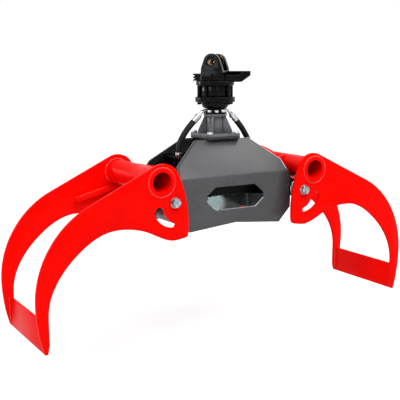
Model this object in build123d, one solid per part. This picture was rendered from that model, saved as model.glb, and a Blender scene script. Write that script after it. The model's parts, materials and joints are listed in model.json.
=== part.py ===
"""Log grapple: two curved claws on a bent-plate housing, opened and closed by one
horizontal cylinder, hung from a hydraulic rotator.

Millimetres. X is the opening direction, Y runs along the logs, Z is up.
The origin is on the floor, under the middle of the housing. The claws stand open."""
from build123d import *
from math import acos, atan2, cos, degrees, hypot, pi, radians, sin, sqrt, tan
import os

os.makedirs("parts", exist_ok=True)

# Claw: places are measured from the claw's pivot
pivot_half_span = 280.0
pivot_height = 460.0
claw_reach = 510.0
claw_half_width = 189.0
claw_plate = 12.0
plate_edge_break = 1.5
tube_out = 50.0
tube_up = 74.0
tube_outer_r = 45.5
tube_wall = 10.0
tube_proud = 4.0
tube_weld = 6.0
weld_clearance = 0.25
blade_plate = 10.0
blade_height = 106.0
rib_length = 180.0
rib_plate = 12.0
rib_depth = 26.0
rib_start_gap = 8.0
slot_wide_place = 67.0
slot_narrow_place = 79.0
slot_wide_r = 20.0
slot_narrow_r = 9.0

# Claw outline, as shares of the claw's reach and of the pivot's height over the tips
inner_edge_shares = [
    (0.918, 0.745), (0.867, 0.519), (0.694, 0.292), (0.490, 0.171), (0.343, 0.167),
    (0.212, 0.204), (0.088, 0.269), (0.000, 0.291), (-0.069, 0.281), (-0.107, 0.213)]
hub_side_shares = [(-0.086, -0.037), (-0.035, -0.208)]
boss_shares = [(0.024, -0.281), (0.141, -0.287)]
back_share = (0.630, -0.028)
arc_shares = [(0.899, 0.244), (1.000, 0.653)]
tip_curve_share = (0.988, 0.815)
tip_shares = [(0.965, 0.945), (0.951, 1.000), (0.930, 1.000), (0.917, 0.935)]
slot_start_deg = -29.0
slot_end_deg = -85.0
rib_slope_deg = -14.0

# Pivot pin, its bolts, and the boss and bushes that carry it
pin_r = 22.5
pin_fit = 0.05
bush_wall = 4.0
bush_length = 62.0
boss_wall = 6.5
boss_proud = 4.0
bush_end_gap = 1.0
bolt_shank_r = 10.0
bolt_hole_clearance = 0.5
bolt_thread_depth = 40.0
bolt_across_flats = 30.0
bolt_head = 12.5
washer_r = 18.5
washer_thick = 3.0

# Lugs, cylinder pins and clips
lug_in = 51.0
lug_up = 72.0
lug_plate = 12.0
lug_gap = 40.0
lug_eye_r = 28.0
lug_swing_clearance = 5.0
cylinder_pin_r = 12.5
cylinder_pin_past_lug = 7.0
clip_r = 16.0
clip_thick = 2.5

# Cylinder
barrel_outer_r = 32.0
barrel_bore_r = 25.0
barrel_length = 321.0
cap_thick = 20.0
eye_r = 26.0
eye_width = 36.0
gland_length = 52.0
gland_collar = 8.0
gland_collar_step = 3.0
rod_r = 15.0
rod_running_gap = 0.3
piston_length = 40.0
piston_seal_width = 8.0
piston_seal_depth = 3.0
piston_end_gap = 3.0
rod_eye_neck = 24.0
port_r = 11.0
port_height = 12.0
port_bore_r = 6.0
port_inset = 24.0

# Housing
plate = 8.0
side_gap = 31.0
bend_r = 16.0
ridge_rise = 198.0
ridge_half_length = 117.5
ridge_half_gap = 52.0
housing_half_length = 250.0
window_half_length = 125.0
web_plate = 12.0
web_top_clearance = 14.5
web_end_r = 39.0
web_top_gap = 2.0
web_top_half_length = 190.0
gusset_place = 210.0
gusset_plate = 10.0

# Housing outline, as shares of half its length, and heights over the pivots as shares of the ridge's rise
crease_share = 0.3586
window_centre_share = -0.050
window_half_share = 0.213
web_arch_share = -0.0435
gusset_shares = (-0.515, 0.129, 0.319)
housing_apex_share = -0.529
housing_corner_share = (0.787, -0.622)
housing_side_shares = [(0.996, -0.346), (1.000, -0.060), (0.984, 0.272), (0.952, 0.395), (0.904, 0.575)]
window_shares = [(0.69, 1.0), (1.0, 0.27), (1.0, -0.27), (0.70, -1.0)]

# Mounting plate and adapter
mount_plate_half = 72.0
mount_plate_thick = 10.0
flange_thick = 9.0
flange_bolt_place = 58.0
flange_bolt_r = 7.0
flange_bolt_flats = 22.0
flange_bolt_head = 8.0
flange_corner_r = 14.0
adapter_tube_r = 31.0
adapter_tube_wall = 8.0
adapter_height = 72.0
adapter_top_r = 44.0
adapter_top_thick = 9.0
gusset_thick = 10.0
adapter_gussets = 4
gusset_foot_r = 66.0
gusset_head_r = 41.0

# Rotator, from the adapter upwards
neck_height = 19.0
neck_r = 28.0
bowl_height = 24.0
bowl_round = 16.0
bowl_low_r = 48.0
bowl_high_r = 52.5
neck_bolt_circle = 36.5
neck_bolt_r = 5.0
neck_bolt_flats = 14.0
neck_bolt_head = 8.0
neck_bolts = 8
lower_flange_r = 75.5
upper_flange_r = 72.0
rotator_flange_thick = 20.0
motor_r = 55.0
motor_height = 42.0
motor_wall = 16.0
upper_flange_thick = 17.0
tie_bolts = 8
tie_circle = 61.0
tie_bolt_r = 5.0
tie_sleeve_r = 7.0
tie_head_flats = 13.0
tie_head = 9.0
shaft_r = 30.0
shaft_gap = 0.5
shaft_collar_r = 35.0
shaft_collar = 8.0
bearing_r = 36.0
bearing_thick = 9.0
seal_r = 40.0
seal_thick = 5.0
running_gap = 0.5

# Link bracket with two ears, side arm and port block
rotator_turn_deg = 41.0
link_half_length = 41.0
link_foot_half_length = 49.0
link_half_width = 52.0
link_base_height = 38.0
link_pin_r = 12.5
link_pin_height = 32.0
ear_thick = 24.0
ear_gap = 52.0
ear_top_r = 30.0
ear_bush_wall = 3.0
ear_washer_r = 27.0
ear_washer_thick = 4.0
link_bolt_flats = 14.0
link_bolt_head = 6.0
link_base_chamfer = 13.0
arm_turn_deg = -80.0
arm_length = 133.0
arm_root_width = 74.0
arm_tip_width = 22.0
arm_floor = 8.0
arm_wall = 7.0
arm_height = 36.0
arm_tip_height = 16.0
arm_near_wall = 21.0
arm_keel_drop = 4.0
arm_keel_gap = 1.0
arm_keel_reach = 100.0
arm_dip_places = (92.0, 112.0)
port_block_turn_deg = 90.0
port_block_reach = 84.0
port_block_half_width = 13.0
port_block_height = 27.0
port_block_groove = 6.0
port_block_ribs = 3

# Hoses: the route's points lie in the plane of the claws' motion, at shares of the hose's fall
hose_r = 11.3
hose_port_up = 13.2
elbow_r = 5.5
ferrule_r = 12.8
ferrule_length = 30.0
union_r = 13.0
union_height = 14.0
bracket_half_length = 20.0
bracket_plate = 6.0
bracket_hole_r = 8.0
hose_bend_share = 0.45
hose_drop = 21.0
hose_left_places = [(-89.0, 1.0), (-120.0, 0.75), (-147.0, 0.42), (-158.0, 0.2), (-158.0, 0.0)]
hose_right_places = [(88.0, 1.0), (116.0, 0.75), (142.0, 0.42), (155.0, 0.2), (155.0, 0.0)]

cut_past = 5.0


def save(shapes, name):
    """Write one node: a piece, or a list of pieces that stay separate solids."""
    pieces = shapes if isinstance(shapes, list) else [shapes]
    solids = [solid for piece in pieces for solid in piece.solids()]
    export_step(Compound(children=solids) if len(solids) > 1 else solids[0], f"parts/{name}.step")


def slab(face, low_y, high_y):
    """Stand a face drawn in X and Z up, between two places along Y."""
    return Pos(0, high_y, 0) * Rot(90, 0, 0) * extrude(face, amount=high_y - low_y)


def slab_x(face, low_x, high_x):
    """Stand a face drawn in Y and Z up, between two places along X."""
    return Pos(low_x, 0, 0) * extrude(Plane.YZ * face, amount=high_x - low_x)


def bar_y(radius, low_y, high_y, x, z):
    """A round bar along Y."""
    return Pos(x, (low_y + high_y) / 2, z) * Rot(90, 0, 0) * Cylinder(radius, high_y - low_y)


def bar_x(radius, low_x, high_x, z):
    """A round bar along X, on the middle plane."""
    return Pos((low_x + high_x) / 2, 0, z) * Rot(0, 90, 0) * Cylinder(radius, high_x - low_x)


def bar_z(radius, low_z, high_z, x=0, y=0):
    """A round bar along Z."""
    return Pos(x, y, (low_z + high_z) / 2) * Cylinder(radius, high_z - low_z)


def block(low, high):
    """A block between two corners."""
    size = [b - a for a, b in zip(low, high)]
    middle = [(a + b) / 2 for a, b in zip(low, high)]
    return Pos(*middle) * Box(*size)


def hexagon(flats, low_z, high_z, x=0, y=0):
    """A hexagon head or nut, with its corners turned off."""
    body = extrude(RegularPolygon(flats / 2, 6, major_radius=False), amount=high_z - low_z)
    envelope = chamfer(Cylinder(flats / 2 / cos(pi / 6), high_z - low_z).edges().sort_by(Axis.Z)[-1],
                       flats / 16)
    return Pos(x, y, low_z) * (body & (Pos(0, 0, (high_z - low_z) / 2) * envelope))


def mirrored(shape):
    """The same piece on the other side of the housing."""
    return mirror(shape, about=Plane.YZ)


def rear(shape):
    """The same piece at the rear."""
    return mirror(shape, about=Plane.XZ)


# Claw, drawn for the right-hand side
px, pz = pivot_half_span, pivot_height
tube_x, tube_z = px + tube_out, pz + tube_up
lug_x, lug_z = px - lug_in, pz + lug_up
claw_inner_y = claw_half_width - claw_plate
tube_inner_r = tube_outer_r - tube_wall
boss_r = pin_r + bush_wall + boss_wall


def on_claw(share):
    return (px + share[0] * claw_reach, pz - share[1] * pivot_height)


def claw_outline():
    inner = [on_claw(s) for s in inner_edge_shares]
    side = [on_claw(s) for s in hub_side_shares]
    boss = [on_claw(s) for s in boss_shares]
    back = on_claw(back_share)
    arc = [on_claw(s) for s in arc_shares]
    tip = [on_claw(s) for s in tip_shares]
    edges = Spline(*inner, tangents=[(0, 1), (0, 1)])
    edges += ThreePointArc(inner[-1], side[0], side[1])
    edges += ThreePointArc(side[1], boss[0], boss[1])
    edges += Line(boss[1], back)
    edges += ThreePointArc(back, arc[0], arc[1])
    edges += ThreePointArc(arc[1], on_claw(tip_curve_share), tip[0])
    edges += Polyline(*tip)
    edges += Line(tip[-1], inner[0])
    return make_face(edges)


def kidney_slot():
    def at(angle, radius):
        return (px + radius * cos(radians(angle)), pz + radius * sin(radians(angle)))
    middle_deg = (slot_start_deg + slot_end_deg) / 2
    middle_place = (slot_wide_place + slot_narrow_place) / 2
    middle_r = (slot_wide_r + slot_narrow_r) / 2
    wide_tip = at(slot_start_deg + degrees(slot_wide_r / slot_wide_place), slot_wide_place)
    narrow_tip = at(slot_end_deg - degrees(slot_narrow_r / slot_narrow_place), slot_narrow_place)
    wide_out = at(slot_start_deg, slot_wide_place + slot_wide_r)
    wide_in = at(slot_start_deg, slot_wide_place - slot_wide_r)
    narrow_out = at(slot_end_deg, slot_narrow_place + slot_narrow_r)
    narrow_in = at(slot_end_deg, slot_narrow_place - slot_narrow_r)
    edges = ThreePointArc(wide_out, at(middle_deg, middle_place + middle_r), narrow_out)
    edges += ThreePointArc(narrow_out, narrow_tip, narrow_in)
    edges += ThreePointArc(narrow_in, at(middle_deg, middle_place - middle_r), wide_in)
    edges += ThreePointArc(wide_in, wide_tip, wide_out)
    return make_face(edges)


def side_plate():
    face = claw_outline() - kidney_slot()
    solid = slab(face, -claw_half_width, -claw_inner_y)
    solid -= bar_y(tube_outer_r + weld_clearance, -claw_half_width - cut_past,
                   -claw_inner_y + cut_past, tube_x, tube_z)
    solid -= bar_y(bolt_shank_r + bolt_hole_clearance, -claw_half_width - cut_past,
                   -claw_inner_y + cut_past, px, pz)
    return solid


def cross_tube():
    """The open tube, with the fillet welds outside both side plates."""
    reach = claw_half_width + tube_proud
    weld = Pos(tube_x, -claw_half_width - tube_proud / 2, tube_z) * Rot(90, 0, 0) * Cone(
        tube_outer_r + tube_weld, tube_outer_r + tube_weld / 3, tube_proud)
    return (bar_y(tube_outer_r, -reach, reach, tube_x, tube_z) + weld + rear(weld)
            - bar_y(tube_inner_r, -reach - cut_past, reach + cut_past, tube_x, tube_z))


def blade():
    """The flat, upright plate between the tips."""
    outer_x, low = on_claw(tip_shares[1])
    inner_x = outer_x - blade_plate
    keep = make_face(Polyline(
        (inner_x, low), (outer_x, low), (outer_x, blade_height), (inner_x, blade_height), close=True))
    return slab(keep, -claw_inner_y, claw_inner_y)


def rib():
    """A bar on the inner face of a side plate, sloping outwards from under the tube."""
    start = (tube_x, tube_z - tube_outer_r - rib_start_gap)
    bar = block((0, -claw_inner_y, -rib_plate / 2), (rib_length, -claw_inner_y + rib_depth, rib_plate / 2))
    bar = chamfer(bar.edges().filter_by(Axis.Y).sort_by(Axis.X)[-2:], rib_plate / 4)
    return Pos(start[0], 0, start[1]) * Rot(0, -rib_slope_deg, 0) * bar


def lug():
    """One ear for the cylinder pin, welded to the cross tube."""
    gap = hypot(tube_x - lug_x, tube_z - lug_z)
    turn = atan2(tube_z - lug_z, tube_x - lug_x)
    lean = (tube_outer_r - lug_eye_r) / gap
    up = turn + pi / 2 + lean
    down = turn - pi / 2 - lean

    def off(x, z, radius, angle):
        return (x + radius * cos(angle), z + radius * sin(angle))
    body = make_face(Polyline(off(lug_x, lug_z, lug_eye_r, up), off(tube_x, tube_z, tube_outer_r, up),
                              off(tube_x, tube_z, tube_outer_r, down),
                              off(lug_x, lug_z, lug_eye_r, down), close=True))
    low_y, high_y = -lug_gap / 2 - lug_plate, -lug_gap / 2
    solid = slab(body, low_y, high_y) + bar_y(lug_eye_r, low_y, high_y, lug_x, lug_z)
    solid -= bar_y(tube_outer_r + weld_clearance, low_y - cut_past, high_y + cut_past, tube_x, tube_z)
    solid -= bar_y(boss_r + lug_swing_clearance, low_y - cut_past, high_y + cut_past, px, pz)
    solid -= bar_y(cylinder_pin_r, low_y - cut_past, high_y + cut_past, lug_x, lug_z)
    return solid


def pin_bolt():
    """A bolt that holds the pivot pin to the front side plate, with its washer."""
    def stand(shape):
        return Pos(px, -claw_half_width - washer_thick, pz) * Rot(90, 0, 0) * shape
    head = stand(hexagon(bolt_across_flats, 0, bolt_head))
    shank = bar_y(bolt_shank_r, -claw_half_width - washer_thick, -claw_inner_y + bolt_thread_depth, px, pz)
    washer = bar_y(washer_r, -claw_half_width - washer_thick, -claw_half_width, px, pz)
    washer -= bar_y(bolt_shank_r + bolt_hole_clearance, -claw_half_width - washer_thick - cut_past,
                    -claw_half_width + cut_past, px, pz)
    return head + shank, washer


def pivot_pin():
    pin = bar_y(pin_r, -claw_inner_y, claw_inner_y, px, pz)
    pin = chamfer(pin.edges().filter_by(GeomType.CIRCLE), plate_edge_break)
    for side in (-1, 1):
        hole = bar_y(bolt_shank_r, claw_inner_y - bolt_thread_depth, claw_inner_y + cut_past, px, pz)
        pin -= rear(hole) if side < 0 else hole
    return pin


def cylinder_pin():
    reach = lug_gap / 2 + lug_plate + cylinder_pin_past_lug
    pin = bar_y(cylinder_pin_r, -reach, reach, lug_x, lug_z)
    return chamfer(pin.edges().filter_by(GeomType.CIRCLE), plate_edge_break)


def pin_clip():
    low_y = lug_gap / 2 + lug_plate
    clip = bar_y(clip_r, low_y, low_y + clip_thick, lug_x, lug_z)
    return clip - bar_y(cylinder_pin_r, low_y - cut_past, low_y + clip_thick + cut_past, lug_x, lug_z)


front_bolt, front_washer = pin_bolt()
front_side = side_plate()
claw_pieces = {
    "front_side": front_side,
    "rear_side": rear(front_side),
    "cross_tube": cross_tube(),
    "blade": blade(),
    "ribs": rib() + rear(rib()),
    "lugs": lug() + rear(lug()),
    "pivot_pin": pivot_pin(),
    "pin_bolts": [front_bolt, rear(front_bolt), front_washer, rear(front_washer)],
    "cylinder_pin": [cylinder_pin(), pin_clip(), rear(pin_clip())],
}
for name, shapes in claw_pieces.items():
    pieces = shapes if isinstance(shapes, list) else [shapes]
    save([mirrored(piece) for piece in pieces], "left_" + name)
    save(pieces, "right_" + name)

# Cylinder: the barrel hangs on the left-hand lugs, the rod on the right-hand ones
cap_x = -lug_x + lug_eye_r + lug_swing_clearance
barrel_end = cap_x + barrel_length
bore_start = cap_x + cap_thick
gland_start = barrel_end - gland_length


def eye(x):
    """An eye on a cylinder pin, with a running fit."""
    ring = bar_y(eye_r, -eye_width / 2, eye_width / 2, x, lug_z)
    return chamfer(ring.edges().filter_by(GeomType.CIRCLE), plate_edge_break)


def eye_bore(x):
    return bar_y(cylinder_pin_r + pin_fit, -eye_width / 2 - cut_past, eye_width / 2 + cut_past, x, lug_z)


def cap():
    neck = bar_x(eye_width / 2, -lug_x, cap_x + cap_thick / 2, lug_z)
    plug = bar_x(barrel_outer_r, cap_x, bore_start - cap_thick / 2, lug_z)
    spigot = bar_x(barrel_bore_r, cap_x, bore_start, lug_z)
    return eye(-lug_x) + neck + plug + spigot - eye_bore(-lug_x)


def barrel():
    tube = bar_x(barrel_outer_r, cap_x + cap_thick / 2, barrel_end, lug_z)
    return tube - bar_x(barrel_bore_r, cap_x - cut_past, barrel_end + cut_past, lug_z)


def gland():
    body = bar_x(barrel_bore_r, gland_start, barrel_end, lug_z)
    collar = bar_x(barrel_outer_r - gland_collar_step, barrel_end, barrel_end + gland_collar, lug_z)
    collar = chamfer(collar.edges().filter_by(GeomType.CIRCLE).sort_by(Axis.X)[-1], plate_edge_break)
    hole = bar_x(rod_r + rod_running_gap, gland_start - cut_past, barrel_end + gland_collar + cut_past, lug_z)
    return body + collar - hole


def port(x):
    """A welded port on top of the barrel."""
    seat = lug_z + sqrt(barrel_outer_r ** 2 - port_r ** 2)
    boss = bar_z(port_r, seat, lug_z + barrel_outer_r + port_height, x)
    boss -= bar_z(port_bore_r, seat - cut_past, lug_z + barrel_outer_r + port_height + cut_past, x)
    return boss - bar_x(barrel_outer_r, cap_x, barrel_end, lug_z)


piston_start = bore_start + piston_end_gap
piston_r = barrel_bore_r - rod_running_gap
groove_start = piston_start + (piston_length - piston_seal_width) / 2


def seal_ring():
    ring = bar_x(piston_r, groove_start, groove_start + piston_seal_width, lug_z)
    return ring - bar_x(piston_r - piston_seal_depth, groove_start - cut_past,
                        groove_start + piston_seal_width + cut_past, lug_z)


def piston():
    body = bar_x(piston_r, piston_start, piston_start + piston_length, lug_z)
    hole = bar_x(rod_r, piston_start - cut_past, piston_start + piston_length + cut_past, lug_z)
    return body - hole - seal_ring()


rod_end = lug_x - eye_r - rod_eye_neck / 2


def rod_eye():
    neck = bar_x(eye_width / 2, lug_x - eye_r - rod_eye_neck, lug_x, lug_z)
    neck = chamfer(neck.edges().filter_by(GeomType.CIRCLE).sort_by(Axis.X)[0], plate_edge_break)
    socket = bar_x(rod_r, lug_x - eye_r - rod_eye_neck - cut_past, rod_end, lug_z)
    return eye(lug_x) + neck - socket - eye_bore(lug_x)


save(barrel(), "cylinder_barrel")
save(cap(), "cylinder_cap")
save(gland(), "cylinder_gland")
save(port(cap_x + port_inset) + port(gland_start - port_inset), "cylinder_ports")
save(bar_x(rod_r, piston_start, rod_end, lug_z), "cylinder_rod")
save(piston(), "piston")
save(seal_ring(), "piston_seal")
save(rod_eye(), "rod_eye")

# Housing
ridge_height = pz + ridge_rise
crease_height = pz + ridge_rise * crease_share
window_centre_height = pz + ridge_rise * window_centre_share
window_half_height = ridge_rise * window_half_share
web_arch_height = pz + ridge_rise * web_arch_share
housing_half_depth = claw_inner_y - side_gap
lean = atan2(housing_half_depth - ridge_half_gap, ridge_height - crease_height)
web_top_height = lug_z + barrel_outer_r + port_height + web_top_clearance
web_outer_y = ridge_half_gap + (ridge_height - web_top_height) * tan(lean) - plate / cos(lean) - web_top_gap


def on_housing(share):
    return (share[0] * housing_half_length, pz + share[1] * ridge_rise)


def housing_outline():
    right = [on_housing(housing_corner_share)] + [on_housing(s) for s in housing_side_shares]
    right.append((ridge_half_length, ridge_height))
    left = [(-x, z) for x, z in reversed(right)]
    return make_face(Polyline((0, pz + housing_apex_share * ridge_rise), *right, *left, close=True))


def window():
    right = [(x * window_half_length, window_centre_height + z * window_half_height)
             for x, z in window_shares]
    left = [(-x, z) for x, z in reversed(right)]
    return make_face(Polyline(*right, *left, close=True))


def bent_plate():
    """The front plate: upright below the crease, leaning inwards above it."""
    low = -cut_past
    top_y = -ridge_half_gap
    crease = (-housing_half_depth, crease_height)
    step = plate * tan(lean / 2)
    profile = make_face(Polyline(
        (-housing_half_depth, low), crease, (top_y, ridge_height),
        (top_y + plate * cos(lean), ridge_height - plate * sin(lean)),
        (-housing_half_depth + plate, crease_height - step), (-housing_half_depth + plate, low),
        close=True))
    outer_corner = profile.vertices().sort_by_distance((crease[0], crease[1], 0))[0]
    profile = fillet(outer_corner, bend_r)
    inner_corner = profile.vertices().sort_by_distance(
        (-housing_half_depth + plate, crease_height - step, 0))[0]
    profile = fillet(inner_corner, bend_r - plate)
    sheet = slab_x(profile, -housing_half_length - cut_past, housing_half_length + cut_past)
    sheet &= slab(housing_outline() - window(), -housing_half_depth - cut_past, 0)
    for side in (-1, 1):
        sheet -= bar_y(boss_r + weld_clearance, -housing_half_depth - cut_past,
                       -housing_half_depth + plate + cut_past, side * px, pz)
    return sheet


def web():
    """The front inner web, between the leaning plates and the two pivot bosses."""
    boss_x = pivot_half_span
    shoulder = (web_top_half_length, web_top_height)
    reach = hypot(boss_x - shoulder[0], shoulder[1] - pz)
    down = atan2(pz - shoulder[1], boss_x - shoulder[0])
    tangent = down + pi / 2 - atan2(web_end_r, sqrt(reach ** 2 - web_end_r ** 2))
    touch = (boss_x + web_end_r * cos(tangent), pz + web_end_r * sin(tangent))
    foot = (boss_x, pz - web_end_r)
    edges = Line((-shoulder[0], shoulder[1]), shoulder)
    edges += Line(shoulder, touch)
    edges += ThreePointArc(touch, (boss_x + web_end_r, pz), foot)
    edges += ThreePointArc(foot, (0, web_arch_height), (-foot[0], foot[1]))
    edges += ThreePointArc((-foot[0], foot[1]), (-boss_x - web_end_r, pz), (-touch[0], touch[1]))
    edges += Line((-touch[0], touch[1]), (-shoulder[0], shoulder[1]))
    solid = slab(make_face(edges), -web_outer_y, -web_outer_y + web_plate)
    for side in (-1, 1):
        solid -= bar_y(boss_r + weld_clearance, -web_outer_y - cut_past,
                       -web_outer_y + web_plate + cut_past, side * px, pz)
    return solid


def web_gussets():
    """Cross plates from the front plate to the rear one, cut down between the webs for the cylinder."""
    pieces = []
    inside = housing_half_depth - plate
    low_z, middle_z, high_z = [pz + ridge_rise * share for share in gusset_shares]
    for side in (-1, 1):
        low_x, high_x = side * gusset_place - gusset_plate / 2, side * gusset_place + gusset_plate / 2
        middle = block((low_x, -web_outer_y + web_plate, low_z), (high_x, web_outer_y - web_plate, middle_z))
        end = block((low_x, -inside, low_z), (high_x, -web_outer_y, high_z))
        pieces += [middle, end, rear(end)]
    return pieces


def pivot_boss():
    reach = housing_half_depth + boss_proud
    boss = bar_y(boss_r, -reach, reach, px, pz)
    return boss - bar_y(pin_r + bush_wall, -reach - cut_past, reach + cut_past, px, pz)


def pivot_bushes():
    reach = claw_inner_y - bush_end_gap
    bush = bar_y(pin_r + bush_wall, reach - bush_length, reach, px, pz)
    bush -= bar_y(pin_r + pin_fit, reach - bush_length - cut_past, reach + cut_past, px, pz)
    pair = bush + rear(bush)
    return pair + mirrored(pair)


front_plate = bent_plate()
front_web = web()
save(front_plate, "front_plate")
save(rear(front_plate), "rear_plate")
save(front_web, "front_web")
save(rear(front_web), "rear_web")
save(web_gussets(), "web_gussets")
save([mirrored(pivot_boss()), pivot_boss()], "pivot_bosses")
save(pivot_bushes(), "pivot_bushes")

# Mounting plate and adapter
flange_low = ridge_height + mount_plate_thick
flange_top = flange_low + flange_thick
adapter_top = flange_top + adapter_height


def square_plate(half, low_z, high_z):
    """A square plate with rounded corners, a centre hole and four bolt holes."""
    solid = block((-half, -half, low_z), (half, half, high_z))
    solid = fillet(solid.edges().filter_by(Axis.Z), flange_corner_r)
    solid -= bar_z(adapter_tube_r - adapter_tube_wall, low_z - cut_past, high_z + cut_past)
    for x in (-flange_bolt_place, flange_bolt_place):
        for y in (-flange_bolt_place, flange_bolt_place):
            solid -= bar_z(flange_bolt_r + bolt_hole_clearance, low_z - cut_past, high_z + cut_past, x, y)
    return solid


def at_corners(make):
    """The same fastener at the flange's four corners."""
    pieces = [make(x, y) for x in (-flange_bolt_place, flange_bolt_place)
              for y in (-flange_bolt_place, flange_bolt_place)]
    return pieces[0] + pieces[1] + pieces[2] + pieces[3]


def flange_bolt(x, y):
    """A bolt down through the flange into the mounting plate."""
    shank = bar_z(flange_bolt_r, ridge_height, flange_top, x, y)
    return shank + hexagon(flange_bolt_flats, flange_top, flange_top + flange_bolt_head, x, y)


def adapter_gusset(turn):
    """A sloping gusset from the flange up to the top plate."""
    face = make_face(Polyline(
        (adapter_tube_r, flange_top), (gusset_foot_r, flange_top), (gusset_foot_r, flange_top + gusset_thick),
        (gusset_head_r, adapter_top - adapter_top_thick), (adapter_tube_r, adapter_top - adapter_top_thick),
        close=True))
    plate_solid = slab(face, -gusset_thick / 2, gusset_thick / 2)
    plate_solid -= bar_z(adapter_tube_r + weld_clearance, flange_top - cut_past, adapter_top + cut_past)
    return Rot(0, 0, turn) * plate_solid


def gussets_round():
    turns = [360 * (index + 1 / 2) / adapter_gussets for index in range(adapter_gussets)]
    whole = adapter_gusset(turns[0])
    for turn in turns[1:]:
        whole += adapter_gusset(turn)
    return whole


adapter_tube = (bar_z(adapter_tube_r, flange_top, adapter_top - adapter_top_thick)
                - bar_z(adapter_tube_r - adapter_tube_wall, flange_top - cut_past, adapter_top + cut_past))
top_plate = bar_z(adapter_top_r, adapter_top - adapter_top_thick, adapter_top)
top_plate = chamfer(top_plate.edges().filter_by(GeomType.CIRCLE), plate_edge_break)


def ring_of(make, count, circle, start_deg=0.0):
    """The same piece, evenly round the rotator's axis."""
    pieces = []
    for index in range(count):
        angle = radians(start_deg + 360 * index / count)
        pieces.append(make(circle * cos(angle), circle * sin(angle)))
    whole = pieces[0]
    for piece in pieces[1:]:
        whole += piece
    return whole


def neck_bolt(x, y):
    """A bolt down through the hub's foot into the top plate."""
    foot_top = adapter_top + hub_foot
    shank = bar_z(neck_bolt_r, adapter_top - adapter_top_thick, foot_top, x, y)
    return shank + hexagon(neck_bolt_flats, foot_top, foot_top + neck_bolt_head, x, y)


hub_foot = neck_height / 3
hub_top = adapter_top + neck_height + bowl_height


neck_start_deg = 180 / neck_bolts


def neck_holes(solid):
    holes = ring_of(lambda x, y: bar_z(neck_bolt_r, adapter_top - adapter_top_thick - cut_past,
                                       adapter_top + hub_foot, x, y),
                    neck_bolts, neck_bolt_circle, neck_start_deg)
    return solid - holes


def rotor_hub():
    """The rotator's lower hub: foot, neck and bowl."""
    foot = bar_z(adapter_top_r, adapter_top, adapter_top + hub_foot)
    neck = bar_z(neck_r, adapter_top, adapter_top + neck_height)
    bowl = Pos(0, 0, adapter_top + neck_height + bowl_height / 2) * Cone(bowl_low_r, bowl_high_r, bowl_height)
    bowl = fillet(bowl.edges().filter_by(GeomType.CIRCLE).sort_by(Axis.Z)[0], bowl_round)
    return neck_holes(foot) + neck + bowl


save(square_plate(mount_plate_half, ridge_height, flange_low), "mounting_plate")
save(square_plate(mount_plate_half, flange_low, flange_top), "adapter_flange")
save(adapter_tube, "adapter_tube")
save(gussets_round(), "adapter_gussets")
save(neck_holes(top_plate), "adapter_top")
save(at_corners(flange_bolt), "flange_bolts")
save(rotor_hub(), "rotor_hub")
save(ring_of(neck_bolt, neck_bolts, neck_bolt_circle, neck_start_deg), "neck_bolts")

# Rotator: the stator turns with the crane link, the hub and shaft stay with the grapple
lower_low = hub_top + running_gap
lower_top = lower_low + rotator_flange_thick
motor_top = lower_top + motor_height
upper_top = motor_top + upper_flange_thick
cavity_r = motor_r - motor_wall
tie_start_deg = 180 / tie_bolts
shaft_roof = motor_top + upper_flange_thick / 2


def flange(radius, low_z, high_z, bore_top):
    body = bar_z(radius, low_z, high_z)
    body = fillet(body.edges().filter_by(GeomType.CIRCLE), plate_edge_break * 2)
    body -= ring_of(lambda x, y: bar_z(tie_bolt_r, low_z - cut_past, high_z + cut_past, x, y),
                    tie_bolts, tie_circle, tie_start_deg)
    return body - bar_z(shaft_r + shaft_gap, low_z - cut_past, bore_top)


lower_flange = flange(lower_flange_r, lower_low, lower_top, lower_top + cut_past)
lower_flange -= bar_z(seal_r, lower_low - cut_past, lower_low + seal_thick)
upper_flange = flange(upper_flange_r, motor_top, upper_top, shaft_roof)


def tie_bolt(x, y):
    """A bolt from below, through the stator, that ends flush in the upper flange."""
    return (bar_z(tie_bolt_r, lower_low, upper_top, x, y)
            + hexagon(tie_head_flats, lower_low - tie_head, lower_low, x, y))


def motor_body():
    """The stator ring, with a cast column round each tie bolt."""
    ring = bar_z(motor_r, lower_top, motor_top)
    ring += ring_of(lambda x, y: bar_z(tie_sleeve_r, lower_top, motor_top, x, y),
                    tie_bolts, tie_circle, tie_start_deg)
    ring -= ring_of(lambda x, y: bar_z(tie_bolt_r, lower_top - cut_past, motor_top + cut_past, x, y),
                    tie_bolts, tie_circle, tie_start_deg)
    return ring - bar_z(cavity_r, lower_top - cut_past, motor_top + cut_past)


def washer_z(outer_r, inner_r, low_z, thick):
    """A flat ring round the rotator's axis."""
    return bar_z(outer_r, low_z, low_z + thick) - bar_z(inner_r, low_z - cut_past, low_z + thick + cut_past)


shaft = bar_z(shaft_r, hub_top, shaft_roof - running_gap)
shaft += bar_z(shaft_collar_r, lower_top + bearing_thick + running_gap,
               lower_top + bearing_thick + running_gap + shaft_collar)
bearing = washer_z(bearing_r, shaft_r + shaft_gap, lower_top, bearing_thick)
seal = washer_z(seal_r, shaft_r + shaft_gap, lower_low, seal_thick)


def turned(shape, angle=0.0):
    """Turn a piece with the stator, as it stands in the photograph."""
    return Rot(0, 0, rotator_turn_deg + angle) * shape


link_top = upper_top + link_base_height
link_pin_z = link_top + link_pin_height


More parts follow.
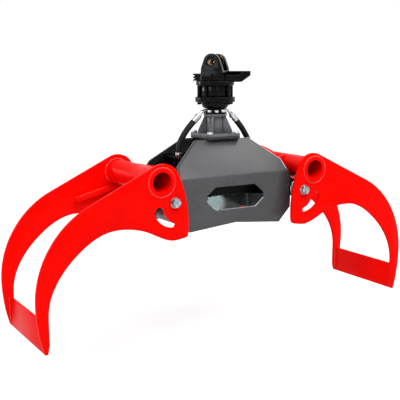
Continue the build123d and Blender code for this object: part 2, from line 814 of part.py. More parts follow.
def ear(side):
    """An ear, thick along the link pin, with a round top."""
    low_x, high_x = sorted((side * ear_gap / 2, side * (ear_gap / 2 + ear_thick)))
    foot = (link_half_length, link_top + ear_thick / 4)
    angle = atan2(foot[1] - link_pin_z, foot[0]) + acos(ear_top_r / hypot(foot[0], link_pin_z - foot[1]))
    touch = (ear_top_r * cos(angle), link_pin_z + ear_top_r * sin(angle))
    face = make_face(Polyline(
        (-link_half_length, link_top), (link_half_length, link_top), foot, touch,
        (-touch[0], touch[1]), (-foot[0], foot[1]), close=True))
    solid = slab_x(face, low_x, high_x)
    solid += Pos((low_x + high_x) / 2, 0, link_pin_z) * Rot(0, 90, 0) * Cylinder(ear_top_r, high_x - low_x)
    return solid


def link_bracket():
    base = block((-link_half_width, -link_foot_half_length, upper_top),
                 (link_half_width, link_foot_half_length, link_top))
    base &= slab_x(make_face(Polyline(
        (-link_foot_half_length, upper_top), (link_foot_half_length, upper_top),
        (link_half_length, link_top), (-link_half_length, link_top), close=True)),
        -link_half_width, link_half_width)
    body = base + ear(-1) + ear(1)
    envelope = block((-link_half_width, -link_foot_half_length, upper_top),
                     (link_half_width, link_foot_half_length, link_pin_z + ear_top_r))
    body &= chamfer(envelope.edges().filter_by(Axis.Z), link_base_chamfer)
    reach = link_half_width + cut_past
    body -= Pos(0, 0, link_pin_z) * Rot(0, 90, 0) * Cylinder(link_pin_r + ear_bush_wall, reach * 2)
    return body


def ear_bush(side):
    middle = (ear_gap + ear_thick) / 2
    face = ear_gap / 2 - ear_washer_thick / 2
    bush = Pos(middle, 0, 0) * Rot(0, 90, 0) * Cylinder(link_pin_r + ear_bush_wall, ear_thick)
    bush += Pos(face, 0, 0) * Rot(0, 90, 0) * Cylinder(ear_washer_r, ear_washer_thick)
    bush -= Pos(middle, 0, 0) * Rot(0, 90, 0) * Cylinder(link_pin_r, ear_gap)
    return Pos(0, 0, link_pin_z) * Rot(0, 0, (1 - side) * 90) * bush


def side_bolt(side, y):
    """A bolt head on the end face of the link bracket's base."""
    head = hexagon(link_bolt_flats, 0, link_bolt_head)
    return Pos(side * link_half_width, y, upper_top + link_base_height / 2) * Rot(0, side * 90, 0) * head


def arm():
    """A tapering trough that reaches out to one side over the hoses."""
    root_x = link_half_length
    face = make_face(Polyline((root_x, -arm_root_width / 2), (arm_length, -arm_tip_width / 2),
                              (arm_length, arm_tip_width / 2), (root_x, arm_root_width / 2), close=True))
    keel_low = upper_top - arm_keel_drop
    keel_start = upper_flange_r + arm_keel_gap
    solid = Pos(0, 0, keel_low) * extrude(face, amount=arm_height + arm_keel_drop)
    hollow = make_face(Polyline((root_x - cut_past, -arm_root_width / 2 + arm_wall),
                                (arm_length - arm_wall * 2, -arm_tip_width / 2 + arm_wall),
                                (arm_length - arm_wall * 2, arm_tip_width / 2 - arm_wall),
                                (root_x - cut_past, arm_root_width / 2 - arm_wall), close=True))
    solid -= Pos(0, 0, upper_top + arm_floor) * extrude(hollow, amount=arm_height)
    under = make_face(Polyline((0, keel_low - cut_past), (0, upper_top), (keel_start, upper_top),
                               (keel_start, keel_low), (arm_keel_reach, keel_low),
                               (arm_length, upper_top + arm_height - arm_tip_height),
                               (arm_length + cut_past, keel_low - cut_past), close=True))
    dip = make_face(Polyline((0, upper_top + arm_near_wall), (arm_dip_places[0], upper_top + arm_near_wall),
                             (arm_dip_places[1], upper_top + arm_height + cut_past),
                             (0, upper_top + arm_height + cut_past), close=True))
    return solid - slab(under, -arm_root_width, arm_root_width) - slab(dip, -arm_root_width, 0)


def port_block():
    """Stacked fittings beside the bracket's base."""
    core = block((0, -port_block_half_width, upper_top),
                 (port_block_reach - port_block_groove, port_block_half_width, upper_top + port_block_height))
    ribs = []
    pitch = port_block_height / (port_block_ribs - 1 / 2)
    for index in range(port_block_ribs):
        low_z = upper_top + pitch * index
        ribs.append(block((0, -port_block_half_width, low_z),
                          (port_block_reach, port_block_half_width, low_z + pitch / 2)))
    return core + ribs


save(lower_flange, "rotator_lower_flange")
save(motor_body(), "rotator_motor_body")
save(upper_flange, "rotator_upper_flange")
save(ring_of(tie_bolt, tie_bolts, tie_circle, tie_start_deg), "tie_bolts")
save(shaft, "rotor_shaft")
save(bearing, "thrust_bearing")
save(seal, "shaft_seal")
save(turned(link_bracket()), "link_bracket")
save(turned(ear_bush(-1) + ear_bush(1)), "ear_bushes")
save(turned(side_bolt(-1, 0)), "bracket_bolt")
save(turned(arm(), arm_turn_deg) - turned(link_bracket()), "side_arm")
save(turned(port_block(), port_block_turn_deg) - turned(link_bracket()), "port_block")

# Hoses, from the rotor hub's two ports down to unions inside the housing
hose_high_z = adapter_top - hose_drop
hose_low_z = web_top_height + bracket_plate + union_height


def route_of(places):
    return [(x, 0, hose_low_z + share * (hose_high_z - hose_low_z)) for x, share in places]


hose_left_route = route_of(hose_left_places)
hose_right_route = route_of(hose_right_places)


def hose_tube(route):
    """A tube along straight runs joined by tangent arcs."""
    points = [Vector(*point) for point in route]
    radii = []
    for before, here, after in zip(points, points[1:], points[2:]):
        turn = radians((here - before).get_angle(after - here))
        radii.append(hose_bend_share * min((here - before).length, (after - here).length) / tan(turn / 2))
    path = FilletPolyline(*points, radius=radii)
    start = Plane(origin=points[0], z_dir=points[1] - points[0])
    tube = sweep(start * Circle(hose_r), path=path)
    print("hose radii", [round(r) for r in radii], "length", round(path.length),
          "volume ratio", round(tube.volume / (path.length * pi * hose_r ** 2), 4))
    return tube


def along(start, end, radius, length):
    """A round bar from one point towards another."""
    step = Vector(*end) - Vector(*start)
    return extrude(Plane(origin=Vector(*start), z_dir=step) * Circle(radius), amount=length)


def elbow(route):
    """The bent pipe from the hub's port out to the ferrule."""
    side = 1 if route[0][0] > 0 else -1
    outward = (Vector(*route[0]) - Vector(*route[1])).normalized()
    mouth = Vector(*route[0]) + outward * ferrule_length
    root = Vector(side * (neck_r - elbow_r), 0, adapter_top + hose_port_up)
    knee = Vector(mouth.X - outward.X * (root.Z - mouth.Z) / -outward.Z, 0, root.Z)
    run = min((knee - root).length, (mouth - knee).length)
    turn = radians((knee - root).get_angle(mouth - knee))
    path = FilletPolyline(root, knee, mouth, radius=hose_bend_share * run / tan(turn / 2))
    pipe = sweep(Plane(origin=root, z_dir=knee - root) * Circle(elbow_r), path=path)
    return pipe - bar_z(neck_r, adapter_top, hub_top)


def ferrule(route):
    outward = (Vector(*route[0]) - Vector(*route[1])).normalized()
    mouth = Vector(*route[0]) + outward * ferrule_length
    return along(mouth, route[0], ferrule_r, ferrule_length)


def bulkhead_union(route):
    """A hexagon union that stands on its bracket under the hose's end."""
    x, y, z = route[-1]
    nut = hexagon(union_r * 2, z - union_height, z, x, y)
    tail = bar_z(bracket_hole_r, z - union_height - bracket_plate, z - union_height, x, y)
    return nut + tail


def hose_bracket(route):
    x, y, z = route[-1]
    high = z - union_height
    depth = on_slope(high)
    low = high - bracket_plate
    strip = block((x - bracket_half_length, -depth, low), (x + bracket_half_length, depth, high))
    return strip - bar_z(bracket_hole_r + weld_clearance, low - cut_past, high + cut_past, x, y)


def on_slope(height):
    """How far from the middle the leaning plates' inner faces are at a height."""
    return ridge_half_gap + (ridge_height - height) * tan(lean) - plate / cos(lean)


routes = (hose_left_route, hose_right_route)
save(hose_tube(hose_left_route), "hose_left")
save(hose_tube(hose_right_route), "hose_right")
save([elbow(route) for route in routes], "hose_elbows")
save([ferrule(route) for route in routes], "hose_ferrules")
save([bulkhead_union(route) for route in routes], "bulkhead_unions")
save([hose_bracket(route) for route in routes], "hose_brackets")
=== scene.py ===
"""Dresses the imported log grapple: bevelled plates, weld beads, paints, zinc, rubber hoses, light and camera.

Metres, in the CAD's frame: X is the opening direction, Y runs along the logs, Z is up."""
import bpy
import bmesh
import json
from math import cos, pi, radians, sin

from mathutils import Matrix, Vector

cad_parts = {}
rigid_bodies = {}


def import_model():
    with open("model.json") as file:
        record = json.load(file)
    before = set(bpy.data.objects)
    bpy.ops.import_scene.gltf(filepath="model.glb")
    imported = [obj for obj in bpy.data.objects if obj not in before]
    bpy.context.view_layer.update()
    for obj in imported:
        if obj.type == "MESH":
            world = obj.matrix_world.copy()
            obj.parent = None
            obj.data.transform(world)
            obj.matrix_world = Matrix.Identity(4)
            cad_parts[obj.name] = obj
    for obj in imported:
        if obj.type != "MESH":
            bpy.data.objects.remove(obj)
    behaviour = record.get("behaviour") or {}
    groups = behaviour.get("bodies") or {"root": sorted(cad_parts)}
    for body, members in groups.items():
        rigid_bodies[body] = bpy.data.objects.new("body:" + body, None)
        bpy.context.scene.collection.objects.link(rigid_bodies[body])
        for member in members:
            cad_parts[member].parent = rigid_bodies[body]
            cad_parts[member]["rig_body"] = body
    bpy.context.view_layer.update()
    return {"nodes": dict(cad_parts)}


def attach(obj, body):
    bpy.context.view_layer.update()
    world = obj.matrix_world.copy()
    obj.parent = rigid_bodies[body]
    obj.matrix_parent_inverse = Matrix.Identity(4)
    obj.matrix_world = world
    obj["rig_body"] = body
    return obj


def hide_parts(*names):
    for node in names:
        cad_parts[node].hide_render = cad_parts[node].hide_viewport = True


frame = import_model()
nodes = frame["nodes"]
scene = bpy.context.scene
mm = 0.001

# Places of part.py that the looks repeat
claws = (("left", -1), ("right", 1))
tube_x, tube_z, tube_r = 0.330, 0.534, 0.0455  # a claw's cross tube
claw_inner_y, claw_outer_y = 0.177, 0.189  # faces of a claw's side plates
rib_x, rib_z, rib_slope, rib_length = 0.334, 0.4805, radians(14.0), 0.172
rib_half_thickness = 6.2 * mm
blade_x, blade_half_thickness = 0.760, 5.8 * mm
blade_low_z, blade_high_z = 0.008, 0.104
pivot_x, pivot_z = 0.280, 0.460
boss_inner_y, boss_r = 0.0895, 0.0345
boss_face_y = 0.1465  # faces beyond this are the pivot bosses' proud ends
window_corner_x, window_low_z, window_corner_z = 0.1255, 0.40, 0.455
# A leaning plate's side, from the ridge down to the bend
plate_side = ((0.1130, 0.0520, 0.6580), (0.2225, 0.1143, 0.5738), (0.2325, 0.1405, 0.5384))
ear_turn = radians(41.0)  # of the link pin's line from X
hose_r = 11.3 * mm
routes = {
    "hose_left": [(-0.089, 0.0, 0.7280), (-0.120, 0.0, 0.6986), (-0.147, 0.0, 0.6599),
                  (-0.158, 0.0, 0.6340), (-0.158, 0.0, 0.6105)],
    "hose_right": [(0.088, 0.0, 0.7280), (0.116, 0.0, 0.6986), (0.142, 0.0, 0.6599),
                   (0.155, 0.0, 0.6340), (0.155, 0.0, 0.6105)],
}


def put(name, data):
    made = bpy.data.objects.new(name, data)
    scene.collection.objects.link(made)
    return made


# Camera, from the photograph's perspective

camera_place = Vector((-1.5708, -2.5432, 0.9230))
camera_yaw = radians(30.582)
camera_pitch = radians(9.592)
camera_roll = radians(-0.221)
focal_share = 787.45 / 400  # focal length to image width
sensor_width = 36.0

forward = Vector((sin(camera_yaw) * cos(camera_pitch), cos(camera_yaw) * cos(camera_pitch),
                  -sin(camera_pitch)))
right = Vector((cos(camera_yaw), -sin(camera_yaw), 0.0))
up = right.cross(forward)
right_rolled = cos(camera_roll) * right + sin(camera_roll) * up
up_rolled = -sin(camera_roll) * right + cos(camera_roll) * up
camera_data = bpy.data.cameras.new("camera")
camera = put("camera", camera_data)
camera_turn = Matrix((right_rolled, up_rolled, -forward)).transposed()
camera.matrix_world = Matrix.Translation(camera_place) @ camera_turn.to_4x4()
camera_data.sensor_width = sensor_width
camera_data.lens = sensor_width * focal_share
camera_data.clip_end = 200.0
scene.camera = camera


# Materials

def material(name):
    made = bpy.data.materials.new(name)
    made.use_nodes = True
    tree = made.node_tree
    tree.nodes.clear()
    out = tree.nodes.new("ShaderNodeOutputMaterial")
    shader = tree.nodes.new("ShaderNodeBsdfPrincipled")
    tree.links.new(shader.outputs[0], out.inputs[0])
    return made, tree, shader, out


def add(tree, kind, **values):
    """A node, with each value put into the input or the setting of that name."""
    node = tree.nodes.new(kind)
    for key, value in values.items():
        if key in node.inputs:
            node.inputs[key].default_value = value
        else:
            setattr(node, key, value)
    return node


def spread(tree, source, from_low, from_high, to_low=0.0, to_high=1.0):
    """Map a value from one range to another, held at both ends."""
    node = add(tree, "ShaderNodeMapRange", **{"From Min": from_low, "From Max": from_high,
                                              "To Min": to_low, "To Max": to_high})
    tree.links.new(source, node.inputs["Value"])
    return node.outputs["Result"]


def ramp(tree, source, stops):
    node = tree.nodes.new("ShaderNodeValToRGB")
    elements = node.color_ramp.elements
    while len(elements) < len(stops):
        elements.new(0.5)
    for element, (place, colour) in zip(elements, stops):
        element.position = place
        element.color = (*colour, 1.0)
    tree.links.new(source, node.inputs["Fac"])
    return node.outputs["Color"]


def surface(name, colour, other, scale, rough, rough_span=0.08, metallic=0.0, bump=0.0,
            bump_scale=400.0, specular=0.5, shade=None):
    """A painted or metal surface: two near colours in soft patches, varied roughness and a fine bump.

    shade gives an axis, its range and the levels along it that the colour is multiplied by, which paints shade
    into the colour."""
    made, tree, shader, _ = material(name)
    place = add(tree, "ShaderNodeTexCoord").outputs["Object"]
    patches = add(tree, "ShaderNodeTexNoise", Scale=scale, Detail=4.0, Roughness=0.55)
    tree.links.new(place, patches.inputs["Vector"])
    tint = ramp(tree, patches.outputs["Fac"], [(0.35, colour), (0.68, other)])
    if shade:
        axis, low, high, stops = shade
        parts = add(tree, "ShaderNodeSeparateXYZ")
        tree.links.new(place, parts.inputs[0])
        along = spread(tree, parts.outputs[axis], low, high)
        levels = ramp(tree, along, [(at, (value, value, value)) for at, value in stops])
        product = add(tree, "ShaderNodeMix", data_type="RGBA", blend_type="MULTIPLY")
        product.inputs["Factor"].default_value = 1.0
        tree.links.new(tint, product.inputs[6])
        tree.links.new(levels, product.inputs[7])
        tint = product.outputs[2]
    tree.links.new(tint, shader.inputs["Base Color"])
    gloss = spread(tree, patches.outputs["Fac"], 0.3, 0.7, max(rough - rough_span, 0.02),
                   rough + rough_span)
    tree.links.new(gloss, shader.inputs["Roughness"])
    if bump:
        fine = add(tree, "ShaderNodeTexNoise", Scale=bump_scale, Detail=3.0, Roughness=0.6)
        tree.links.new(place, fine.inputs["Vector"])
        relief = add(tree, "ShaderNodeBump", Strength=bump, Distance=0.6 * mm)
        tree.links.new(fine.outputs["Fac"], relief.inputs["Height"])
        tree.links.new(relief.outputs["Normal"], shader.inputs["Normal"])
    shader.inputs["Metallic"].default_value = metallic
    shader.inputs["Specular IOR Level"].default_value = specular
    return made


red = surface("red_paint", (0.83, 0.0012, 0.0004), (0.89, 0.0022, 0.0006), 9.0, 0.34,
              bump=0.12, bump_scale=260.0, specular=0.03)
# Red with painted shade for the tube bores: a little darker overall and much darker towards the bore's top,
# where the upper wall gets no direct light.
bore_red_painted_shade = surface("bore_red_painted_shade", (0.80, 0.0012, 0.0004), (0.88, 0.0020, 0.0005), 9.0, 0.40,
                   bump=0.2, bump_scale=260.0, specular=0.03,
                   shade=("Z", 0.498, 0.570, [(0.0, 1.0), (0.45, 0.85), (1.0, 0.16)]))
weld_red = surface("weld_red", (0.78, 0.004, 0.002), (0.88, 0.010, 0.006), 120.0, 0.24,
                   bump=0.6, bump_scale=500.0, specular=0.55)
# Housing grey with painted shade along X: a little lighter at the left end, darker towards the right and much
# darker at the right end, where the right claw shades the plates.
grey = surface("grey_paint", (0.062, 0.063, 0.066), (0.072, 0.073, 0.077), 14.0, 0.32,
               bump=0.16, bump_scale=330.0, specular=0.22,
               shade=("X", -0.25, 0.25, [(0.0, 1.10), (0.50, 0.90), (0.88, 0.80), (1.0, 0.30)]))
# Darker copy of the housing grey for painted shade: on the mounting plate and on the welds down the left plate
# sides.
edge_grey_painted_shade = surface("edge_grey_painted_shade", (0.022, 0.023, 0.026), (0.031, 0.032, 0.035), 14.0, 0.40,
                    bump=0.2, bump_scale=330.0, specular=0.2)
# Light grey for painted highlights: the lit lower edge of the housing window and the welds down the right
# plate sides.
edge_painted_highlight = surface("edge_painted_highlight", (0.34, 0.36, 0.37), (0.46, 0.48, 0.49), 40.0, 0.35,
                     bump=0.2, bump_scale=330.0)
# Darker teal grey for painted shade inside the housing: the plates' inner faces and the web gussets.
inner_grey_painted_shade = surface("inner_grey_painted_shade", (0.020, 0.026, 0.027), (0.034, 0.042, 0.043), 22.0, 0.25,
                     bump=0.3, bump_scale=120.0, specular=0.3)
steel_paint = surface("adapter_paint", (0.070, 0.074, 0.084), (0.120, 0.125, 0.135), 26.0, 0.34,
                      bump=0.3, bump_scale=300.0, specular=0.4)
black = surface("black_paint", (0.0008, 0.0008, 0.0010), (0.0020, 0.0020, 0.0024), 16.0, 0.17,
                rough_span=0.05, bump=0.30, bump_scale=120.0, specular=0.09)
dark = surface("inner_paint", (0.0012, 0.0013, 0.0015), (0.0032, 0.0034, 0.0038), 16.0, 0.4,
               bump=0.3, bump_scale=200.0, specular=0.06)
zinc = surface("zinc", (0.13, 0.14, 0.16), (0.52, 0.54, 0.56), 85.0, 0.28,
               metallic=1.0, bump=0.8, bump_scale=420.0)
bright = surface("bright_zinc", (0.40, 0.41, 0.43), (0.74, 0.74, 0.75), 70.0, 0.24,
                 metallic=1.0, bump=0.4, bump_scale=500.0)
steel = surface("ground_steel", (0.42, 0.42, 0.43), (0.60, 0.60, 0.60), 40.0, 0.3,
                metallic=1.0, bump=0.2, bump_scale=600.0)
chrome = surface("hard_chrome", (0.80, 0.80, 0.82), (0.86, 0.86, 0.88), 20.0, 0.08,
                 rough_span=0.03, metallic=1.0)
bronze = surface("bronze", (0.40, 0.22, 0.09), (0.60, 0.38, 0.19), 45.0, 0.35,
                 metallic=1.0, bump=0.2)
rubber = surface("hose_rubber", (0.0050, 0.0050, 0.0055), (0.011, 0.011, 0.012), 40.0, 0.5,
                 bump=0.5, bump_scale=700.0, specular=0.14)


# Pieces made from the CAD's own meshes, with bevelled edges

merge_distance = 2e-6
flat_angle = radians(0.6)  # faces that differ by less are one flat face
bevel_angle = radians(34.0)  # edges sharper than this are bevelled
smooth_deg, bead_smooth_deg = 38.0, 80.0  # edges sharper than this stay sharp


def applied(temp):
    """The mesh that a temporary object comes to, which is then removed."""
    bpy.context.view_layer.update()
    mesh = bpy.data.meshes.new_from_object(temp.evaluated_get(bpy.context.evaluated_depsgraph_get()))
    bpy.data.objects.remove(temp)
    return mesh


def mesh_from(work, name):
    mesh = bpy.data.meshes.new(name)
    work.to_mesh(mesh)
    work.free()
    return mesh


def finish_mesh(name, mesh, surface_material, body, sharp_deg=smooth_deg):
    made = put(name, mesh)
    mesh.materials.clear()
    mesh.materials.append(surface_material)
    mesh.polygons.foreach_set("use_smooth", [True] * len(mesh.polygons))
    mesh.set_sharp_from_angle(angle=radians(sharp_deg))
    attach(made, body)
    return made


def dress(node, width, surface_material, segments=2):
    """A bevelled copy of a CAD node, which replaces it."""
    source = nodes[node]
    work = bmesh.new()
    work.from_mesh(source.data)
    bmesh.ops.remove_doubles(work, verts=work.verts, dist=merge_distance)
    bmesh.ops.dissolve_limit(work, angle_limit=flat_angle, verts=work.verts, edges=work.edges,
                             delimit={"NORMAL"})
    temp = put(node + "_temp", mesh_from(work, node + "_dressed"))
    bevel = temp.modifiers.new("bevel", "BEVEL")
    bevel.width = width
    bevel.segments = segments
    bevel.limit_method = "ANGLE"
    bevel.angle_limit = bevel_angle
    bevel.use_clamp_overlap = True
    bevel.harden_normals = False
    made = finish_mesh(node + "_dressed", applied(temp), surface_material, source["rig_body"])
    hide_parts(node)
    return made


def pick(made, surface_material, wanted):
    """Another material on the faces whose middle and normal are wanted."""
    made.data.materials.append(surface_material)
    last = len(made.data.materials) - 1
    for polygon in made.data.polygons:
        if wanted(polygon.center, polygon.normal):
            polygon.material_index = last


def paint(surface_material, *names):
    """CAD nodes whose shape stays, with a better material."""
    for name in names:
        for place in nodes[name].material_slots:
            place.material = surface_material


# Faces that get the painted highlight: the upward faces of the window's lower edge.
def lower_window_edge(middle, normal):
    in_window = abs(middle.x) < window_corner_x and window_low_z < middle.z < window_corner_z
    return in_window and normal.z > 0.3 and abs(normal.y) < 0.5


for side, sign in claws:
    for name in ("front_side", "rear_side", "blade"):
        dress(f"{side}_{name}", 1.6 * mm, red)
    tube = dress(f"{side}_cross_tube", 1.0 * mm, red)
    # The faces that look at the tube's own axis are its bore, in red with painted shade that darkens towards
    # the bore's top.
    pick(tube, bore_red_painted_shade,
         lambda c, n: (c.x - sign * tube_x) * n.x + (c.z - tube_z) * n.z < -0.02)
    dress(f"{side}_lugs", 1.4 * mm, red)
    dress(f"{side}_ribs", 2.0 * mm, red)
    dress(f"{side}_pin_bolts", 0.6 * mm, zinc)
    dress(f"{side}_pivot_pin", 0.8 * mm, steel)
    dress(f"{side}_cylinder_pin", 0.5 * mm, steel)

for name, outward in (("front_plate", -1.0), ("rear_plate", 1.0)):
    # The housing plates get the grey with painted shade that darkens towards their right end.
    plate = dress(name, 1.5 * mm, grey)
    # The plates' inner faces get the darker grey of painted shade.
    pick(plate, inner_grey_painted_shade, lambda c, n: n.y * outward < -0.5)
    # The window's lower edge gets the light grey of a painted highlight.
    pick(plate, edge_painted_highlight, lower_window_edge)
bosses = dress("pivot_bosses", 1.2 * mm, dark)
pick(bosses, bright, lambda c, n: abs(c.y) > boss_face_y)
# The web gussets inside the housing get the darker grey of painted shade.
dress("web_gussets", 1.2 * mm, inner_grey_painted_shade)
for name in ("front_web", "rear_web", "hose_brackets"):
    dress(name, 1.2 * mm, dark)
# The mounting plate gets the darker grey of painted shade.
dress("mounting_plate", 1.5 * mm, edge_grey_painted_shade)
dress("bracket_bolt", 0.5 * mm, black)
for name in ("adapter_flange", "adapter_tube", "adapter_gussets", "adapter_top"):
    dress(name, 1.2 * mm, steel_paint)
for name in ("flange_bolts", "neck_bolts", "bulkhead_unions"):
    dress(name, 0.6 * mm, bright)
dress("tie_bolts", 0.6 * mm, black)
for name in ("rotor_hub", "rotator_lower_flange", "rotator_motor_body", "rotator_upper_flange",
             "port_block"):
    dress(name, 1.2 * mm, black)
dress("link_bracket", 3.0 * mm, black, segments=3)
dress("side_arm", 1.6 * mm, black)
bushes = dress("ear_bushes", 0.6 * mm, bronze)
ear_line = Vector((cos(ear_turn), sin(ear_turn), 0.0))
pick(bushes, black, lambda c, n: abs(n.dot(ear_line)) > 0.5)
dress("hose_elbows", 0.5 * mm, bright)
for name in ("cylinder_barrel", "cylinder_cap", "rod_eye"):
    dress(name, 1.0 * mm, dark)
dress("cylinder_ports", 0.6 * mm, dark)
dress("cylinder_gland", 0.8 * mm, steel)
paint(chrome, "cylinder_rod")
paint(steel, "piston", "rotor_shaft", "thrust_bearing")
paint(rubber, "piston_seal", "shaft_seal")
paint(bright, "pivot_bushes")


# Hoses, on the routes of part.py

def hose(name, route):
    curve = bpy.data.curves.new(name + "_curve", "CURVE")
    curve.dimensions = "3D"
    spline = curve.splines.new("NURBS")
    spline.points.add(len(route) - 1)
    for point, place in zip(spline.points, route):
        point.co = (*place, 1.0)
    spline.order_u = 3
    spline.use_endpoint_u = True
    curve.resolution_u = 12
    curve.bevel_depth = hose_r
    curve.bevel_resolution = 6
    curve.use_fill_caps = True
    curve.materials.append(rubber)
    made = put(name + "_hose", curve)
    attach(made, "housing")
    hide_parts(name)
    plain = curve.copy()
    plain.bevel_depth = 0.0
    line = [v.co.copy() for v in applied(put(name + "_line", plain)).vertices]


for name, route in routes.items():
    hose(name, route)


# Turned and swept pieces

lathe_steps = 40
bead_sides = 8
bead_step = 1.3 * mm  # between a bead's rings
ripple_pitch = 5.0 * mm
ripple_share = 0.14


def skin(work, rings, closed=False):
    """Faces between rings of points, and a cap on each end of an open row."""
    pairs = list(zip(rings, rings[1:]))
    if closed:
        pairs.append((rings[-1], rings[0]))
    for low, high in pairs:
        for step in range(len(low)):
            after = (step + 1) % len(low)
            work.faces.new((low[step], low[after], high[after], high[step]))
    if not closed:
        work.faces.new(list(reversed(rings[0])))
        work.faces.new(rings[-1])


def ring(work, middle, side, other, radius, steps):
    turns = [2 * pi * step / steps for step in range(steps)]
    return [work.verts.new(middle + (side * cos(turn) + other * sin(turn)) * radius)
            for turn in turns]


def lathe(name, profile, place, direction, surface_material, body):
    """Turn a profile of (distance along, radius) about a line."""
    axis = Vector(direction).normalized()
    side = axis.orthogonal().normalized()
    other = axis.cross(side)
    work = bmesh.new()
    skin(work, [ring(work, Vector(place) + axis * along, side, other, radius, lathe_steps)
                for along, radius in profile])
    return finish_mesh(name, mesh_from(work, name), surface_material, body)


def bead(name, line, radius, surface_material, body, closed=False):
    """A rippled weld bead along a line."""
    count = len(line)
    total = 0.0
    work = bmesh.new()
    rings = []
    for index, place in enumerate(line):
        before = line[index - 1] if (index or closed) else line[index]
        after = line[(index + 1) % count] if (index < count - 1 or closed) else line[index]
        along = (after - before).normalized()
        side = along.cross(Vector((0.0, 1.0, 0.0)))
        if side.length < 0.2:  # the line runs along Y
            side = along.cross(Vector((0.0, 0.0, 1.0)))
        side.normalize()
        swell = radius * (1.0 + ripple_share * sin(2 * pi * total / ripple_pitch))
        rings.append(ring(work, place, side, along.cross(side), swell, bead_sides))
        if index < count - 1:
            total += (line[index + 1] - place).length
    skin(work, rings, closed)
    return finish_mesh(name, mesh_from(work, name), surface_material, body, bead_smooth_deg)


def straight(start, end):
    start, end = Vector(start), Vector(end)
    count = max(int((end - start).length / bead_step), 2)
    return [start.lerp(end, index / count) for index in range(count + 1)]


def circle_y(x, y, z, radius):
    count = int(2 * pi * radius / bead_step)
    return [Vector((x + radius * cos(2 * pi * i / count), y, z + radius * sin(2 * pi * i / count)))
            for i in range(count)]


# Weld beads on the claws
plate_ends = ((-1, "front"), (1, "rear"))
for side, sign in claws:
    body = "claw_" + side
    for end, face in plate_ends:
        inner_ring = circle_y(sign * tube_x, end * (claw_inner_y - 1.2 * mm), tube_z, tube_r + 1.8 * mm)
        outer_ring = circle_y(sign * tube_x, end * (claw_outer_y + 0.8 * mm), tube_z, tube_r + 5.8 * mm)
        bead(f"{side}_{face}_tube_bead", inner_ring, 3.4 * mm, weld_red, body, closed=True)
        bead(f"{side}_{face}_outer_bead", outer_ring, 2.4 * mm, weld_red, body, closed=True)
        away = Vector((sign * cos(rib_slope), 0.0, -sin(rib_slope))) * rib_length
        for edge, level in ((-1, "low"), (1, "high")):
            start = Vector((sign * rib_x, end * (claw_inner_y - 1.4 * mm), rib_z + edge * rib_half_thickness))
            bead(f"{side}_{face}_rib_bead_{level}", straight(start, start + away), 2.4 * mm, weld_red,
                 body)
    for end, face in plate_ends:
        for edge, level in ((-1, "in"), (1, "out")):
            x, y = sign * (blade_x + edge * blade_half_thickness), end * (claw_inner_y - 1.0 * mm)
            bead(f"{side}_{face}_blade_bead_{level}", straight((x, y, blade_low_z), (x, y, blade_high_z)),
                 2.2 * mm, weld_red, body)

# Welds down the leaning plates' sides and round the pivot bosses
for end, face in plate_ends:
    for side, sign in claws:
        corners = [(sign * x, end * y, z) for x, y, z in plate_side]
        line = []
        for high, low in zip(corners, corners[1:]):
            line += straight(high, low)[:-1]
        # The right side's welds get a painted highlight and the left side's welds a painted shade.
        bead(f"{face}_{side}_plate_bead", line, 1.6 * mm, edge_painted_highlight if sign > 0 else edge_grey_painted_shade,
             "housing")
        bead(f"{face}_{side}_boss_bead", circle_y(sign * pivot_x, end * boss_inner_y, pivot_z, boss_r),
             2.6 * mm, dark, "housing", closed=True)

# Crimped ferrules, from the elbow down over the hose
ferrule_r, groove_r, lip_r, neck_r = 12.8 * mm, 12.1 * mm, 11.8 * mm, 9.6 * mm
crimp_pitch = 5.6 * mm
for name, route in routes.items():
    first, second = Vector(route[0]), Vector(route[1])
    down = (second - first).normalized()
    profile = [(0.0, 7.0 * mm), (1.0 * mm, neck_r), (6.0 * mm, neck_r), (6.6 * mm, lip_r),
               (8.0 * mm, ferrule_r)]
    for crimp in range(5):
        low = 8.0 * mm + crimp * crimp_pitch
        profile += [(low + 1.4 * mm, ferrule_r), (low + 2.0 * mm, groove_r),
                    (low + 3.8 * mm, groove_r), (low + 4.4 * mm, ferrule_r)]
    profile += [(37.8 * mm, ferrule_r), (38.8 * mm, lip_r)]
    sleeve = lathe(name + "_ferrule", profile, first - down * 30.0 * mm, down, bright, "housing")
    if name == "hose_left":
        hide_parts("hose_ferrules")


# Light, floor and background

def whiten(tree, plain, target):
    """The target for camera, mirror and glass rays, and the plain shader for all others."""
    path = add(tree, "ShaderNodeLightPath")
    first = add(tree, "ShaderNodeMath", operation="MAXIMUM")
    tree.links.new(path.outputs["Is Camera Ray"], first.inputs[0])
    tree.links.new(path.outputs["Is Glossy Ray"], first.inputs[1])
    second = add(tree, "ShaderNodeMath", operation="MAXIMUM")
    tree.links.new(first.outputs[0], second.inputs[0])
    tree.links.new(path.outputs["Is Transmission Ray"], second.inputs[1])
    mix = add(tree, "ShaderNodeMixShader")
    tree.links.new(second.outputs[0], mix.inputs["Fac"])
    tree.links.new(plain, mix.inputs[1])
    tree.links.new(target, mix.inputs[2])
    return mix


white = (1.0, 1.0, 1.0, 1.0)
world = bpy.data.worlds.new("studio")
scene.world = world
world.use_nodes = True
tree = world.node_tree
tree.nodes.clear()
place = add(tree, "ShaderNodeTexCoord")
split = add(tree, "ShaderNodeSeparateXYZ")
tree.links.new(place.outputs["Generated"], split.inputs[0])
sky = add(tree, "ShaderNodeBackground", Color=white)
tree.links.new(spread(tree, split.outputs["Z"], -0.4, 1.0, 0.07, 0.80), sky.inputs["Strength"])
backdrop = add(tree, "ShaderNodeBackground", Color=white, Strength=1.0)
mix = whiten(tree, sky.outputs[0], backdrop.outputs[0])
out = add(tree, "ShaderNodeOutputWorld")
tree.links.new(mix.outputs[0], out.inputs["Surface"])


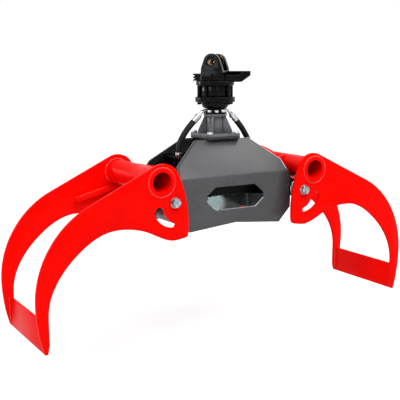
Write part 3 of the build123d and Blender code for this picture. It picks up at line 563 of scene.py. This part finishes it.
def aimed(place, target):
    """The matrix of a lamp that stands at a place and points at its target."""
    place = Vector(place)
    turn = (place - Vector(target)).to_track_quat("Z", "Y")
    return Matrix.Translation(place) @ turn.to_matrix().to_4x4()


def lamp(name, place, target, size, power):
    data = bpy.data.lights.new(name, "AREA")
    data.shape = "DISK"
    data.size = size
    data.energy = power
    made = put(name, data)
    made.matrix_world = aimed(place, target)
    made.visible_camera = False


lamp("key", (-1.7, -2.9, 4.4), (0.0, 0.0, 0.4), 1.8, 72.0)
lamp("front", (0.4, -3.0, 4.3), (0.0, 0.0, 0.4), 2.6, 128.0)
lamp("ceiling", (2.4, -0.5, 3.9), (0.0, 0.0, 0.5), 2.4, 60.0)
lamp("left", (-3.8, -1.2, 1.6), (-0.2, 0.0, 0.3), 1.6, 30.0)
lamp("left_streak", (-1.78, 2.03, 0.98), (0.0, 0.0, 0.83), 0.34, 10.0)
lamp("right_streak", (2.7, 0.2, 1.1), (0.0, 0.0, 0.83), 0.26, 4.0)
inside = bpy.data.lights.new("inside", "SPOT")
inside.energy = 12.0
inside.spot_size = radians(38.0)
inside.spot_blend = 0.8
inside.shadow_soft_size = 4.0 * mm
put("inside", inside).matrix_world = aimed((0.055, -0.010, 0.415), (0.085, 0.138, 0.374))

floor_reach = 60.0
floor_z = -0.17  # under the closed claws' tips, which swing below the open ones
corners = [(x * floor_reach, y * floor_reach, floor_z) for x, y in ((-1, -1), (1, -1), (1, 1), (-1, 1))]
floor_data = bpy.data.meshes.new("floor")
floor_data.from_pydata(corners, [], [(0, 1, 2, 3)])
floor = put("floor", floor_data)
floor_material, tree, shader, out = material("floor")
cloud = add(tree, "ShaderNodeTexNoise", Scale=3.0, Detail=2.0)
shade = ramp(tree, cloud.outputs["Fac"], [(0.3, (0.60, 0.60, 0.60)), (0.7, (0.63, 0.63, 0.63))])
tree.links.new(shade, shader.inputs["Base Color"])
shader.inputs["Roughness"].default_value = 0.9
shader.inputs["Specular IOR Level"].default_value = 0.1
# The glow grows with the distance: the object's soft shadow stays, and the far floor meets the background.
place = add(tree, "ShaderNodeTexCoord")
distance = add(tree, "ShaderNodeVectorMath", operation="LENGTH")
tree.links.new(place.outputs["Object"], distance.inputs[0])
glow = add(tree, "ShaderNodeEmission", Color=white)
tree.links.new(spread(tree, distance.outputs["Value"], 0.9, 3.6, 0.42, 0.74), glow.inputs["Strength"])
both = add(tree, "ShaderNodeAddShader")
tree.links.new(shader.outputs[0], both.inputs[0])
tree.links.new(glow.outputs[0], both.inputs[1])
mix = whiten(tree, shader.outputs[0], both.outputs[0])
tree.links.new(mix.outputs[0], out.inputs["Surface"])
floor_data.materials.append(floor_material)

scene.view_settings.view_transform = "Standard"
